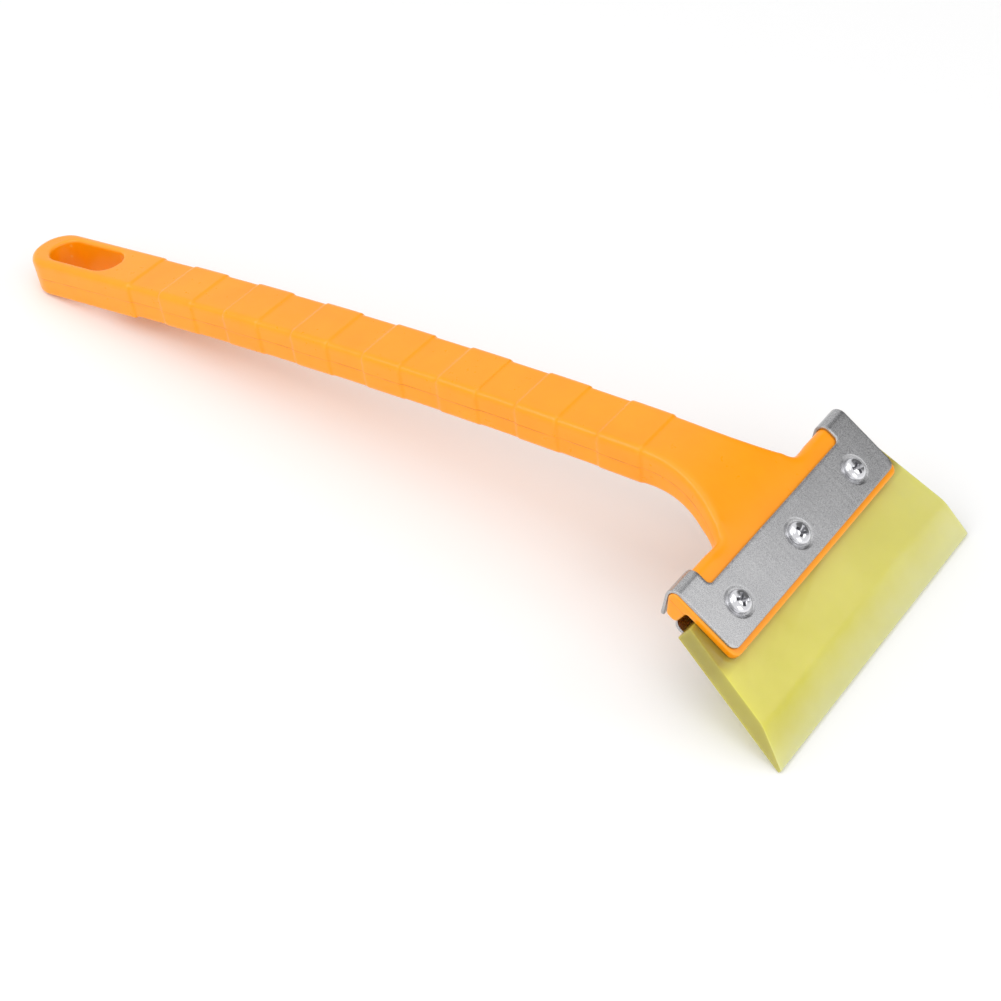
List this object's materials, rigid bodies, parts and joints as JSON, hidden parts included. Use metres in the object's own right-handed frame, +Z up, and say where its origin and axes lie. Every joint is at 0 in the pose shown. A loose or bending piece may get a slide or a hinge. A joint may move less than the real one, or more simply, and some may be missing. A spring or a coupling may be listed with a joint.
{
  "type": "floor scraper",
  "caption": "Long bowed plastic handle with a T-head and steel plates that clamp a flared, bevelled polyurethane blade; hanging slot in the butt.",
  "frame": {"origin": "middle of the tool's footprint, on the surface that it lies on", "axes": "+X from the handle's butt to the blade, +Y to the left when looking along +X, +Z up"},
  "size_m": [0.3692, 0.1264, 0.0511],
  "materials": {
    "handle_plastic": "satin moulded",
    "clamp_steel": "rolled, galvanised",
    "blade_urethane": "translucent polyurethane",
    "screw_chrome": "bright plated",
    "nut_zinc": "zinc plated"
  },
  "bodies": {
    "handle_head": {"handle": "handle_plastic", "top_clamp_plate": "clamp_steel"},
    "screw_left": {"screw_left": "screw_chrome"},
    "screw_centre": {"screw_centre": "screw_chrome"},
    "screw_right": {"screw_right": "screw_chrome"},
    "clamp_bar": {"lower_clamp_plate": "clamp_steel", "nut_left": "nut_zinc", "nut_centre": "nut_zinc", "nut_right": "nut_zinc"},
    "blade": {"blade": "blade_urethane"}
  },
  "joints": [
    {"name": "clamp_open", "type": "slide", "parent": "handle_head", "child": "clamp_bar", "axis": [-0.547, 0, -0.8371], "range_m": [0, 0.0014]},
    {"name": "screw_left_turn", "type": "hinge", "parent": "handle_head", "child": "screw_left", "pos_m": [0.15252, 0.0367, 0.03323], "axis": [0.547, 0, 0.8371], "range_deg": [0, 720.5]},
    {"name": "screw_centre_turn", "type": "hinge", "parent": "handle_head", "child": "screw_centre", "pos_m": [0.15252, 0, 0.03323], "axis": [0.547, 0, 0.8371], "range_deg": [0, 720.5]},
    {"name": "screw_right_turn", "type": "hinge", "parent": "handle_head", "child": "screw_right", "pos_m": [0.15252, -0.0367, 0.03323], "axis": [0.547, 0, 0.8371], "range_deg": [0, 720.5]},
    {"name": "blade_slide", "type": "slide", "parent": "handle_head", "child": "blade", "axis": [0.8371, 0, -0.547], "range_m": [0, 0.018]}
  ],
  "couplings": [
    {"joint": "screw_left_turn", "follows": "clamp_open", "rad_per_m": 8976},
    {"joint": "screw_centre_turn", "follows": "clamp_open", "rad_per_m": 8976},
    {"joint": "screw_right_turn", "follows": "clamp_open", "rad_per_m": 8976}
  ]
}
